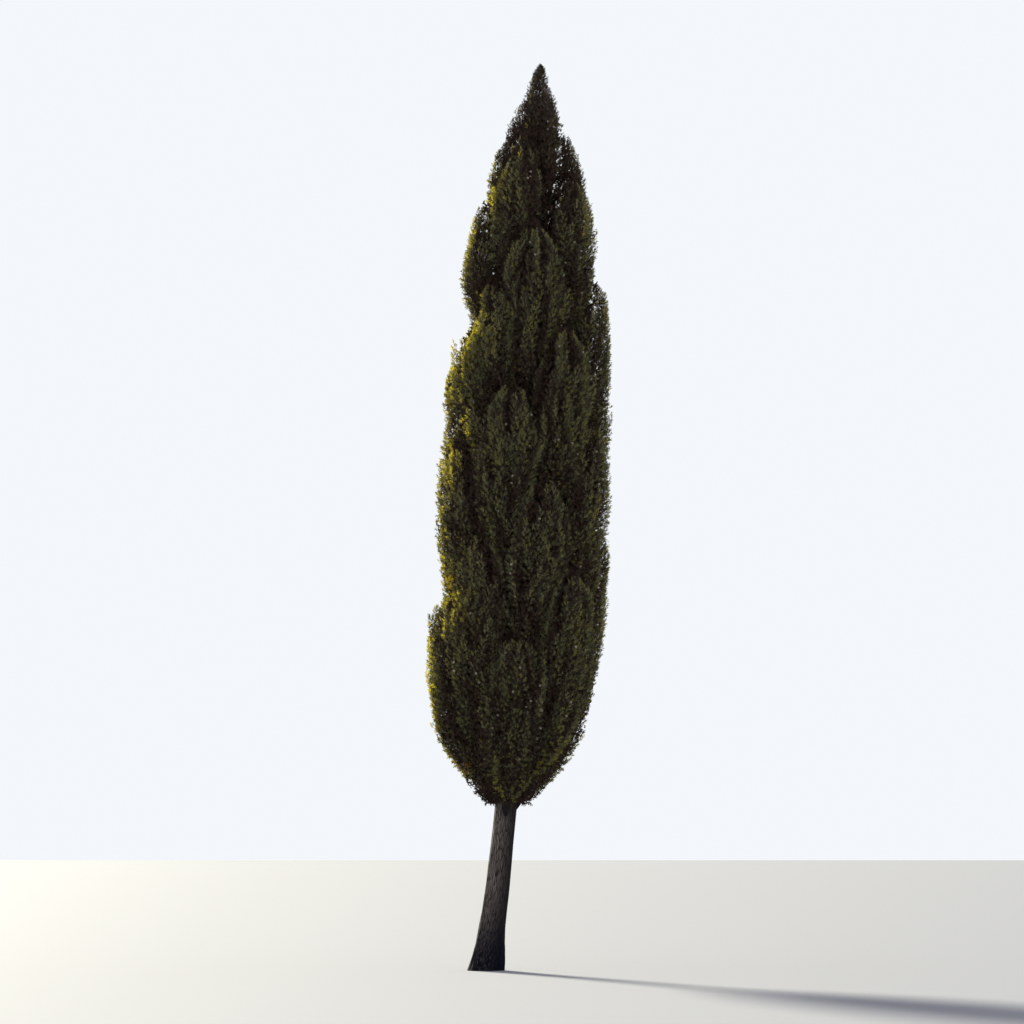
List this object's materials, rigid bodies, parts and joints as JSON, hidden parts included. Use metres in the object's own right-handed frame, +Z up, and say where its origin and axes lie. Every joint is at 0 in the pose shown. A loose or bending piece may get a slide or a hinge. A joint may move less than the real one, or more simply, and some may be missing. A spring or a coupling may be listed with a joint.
{
  "type": "pencil cypress tree",
  "caption": "Narrow upright conifer with a slightly leaning bare trunk, upswept boughs and overlapping flame-shaped plumes of dense dark foliage that close to a pointed leader.",
  "frame": {"origin": "middle of the flat cut under the trunk, at ground level", "axes": "+Z up along the trunk's height, +X to the side the trunk leans towards, +Y away from the viewer of the picture"},
  "size_m": [2.4474, 2.3419, 11.9998],
  "materials": {
    "bark": "dry grey-brown bark in long shallow upright fibres",
    "foliage": "matt dark olive-green scale leaves, yellower at the tips of the sprays"
  },
  "bodies": {
    "root": {"trunk": "bark", "bough_01": "bark", "bough_02": "bark", "bough_03": "bark", "bough_04": "bark", "bough_05": "bark", "bough_06": "bark", "bough_07": "bark", "bough_08": "bark", "bough_09": "bark", "bough_10": "bark", "bough_11": "bark", "bough_12": "bark", "bough_13": "bark", "bough_14": "bark", "bough_15": "bark", "bough_16": "bark", "bough_17": "bark", "bough_18": "bark", "bough_19": "bark", "bough_20": "bark", "bough_21": "bark", "bough_22": "bark", "bough_23": "bark", "bough_24": "bark", "foliage_01": "foliage", "foliage_02": "foliage", "foliage_03": "foliage", "foliage_04": "foliage", "foliage_05": "foliage", "foliage_06": "foliage", "foliage_07": "foliage", "foliage_08": "foliage", "foliage_09": "foliage", "foliage_10": "foliage", "foliage_11": "foliage", "foliage_12": "foliage", "foliage_13": "foliage", "foliage_14": "foliage", "foliage_15": "foliage", "foliage_16": "foliage", "foliage_17": "foliage", "foliage_18": "foliage", "foliage_19": "foliage", "foliage_20": "foliage", "foliage_21": "foliage", "foliage_22": "foliage", "foliage_23": "foliage", "foliage_24": "foliage", "foliage_25": "foliage", "foliage_26": "foliage", "foliage_27": "foliage", "foliage_28": "foliage", "foliage_29": "foliage", "foliage_top": "foliage"}
  },
  "joints": []
}
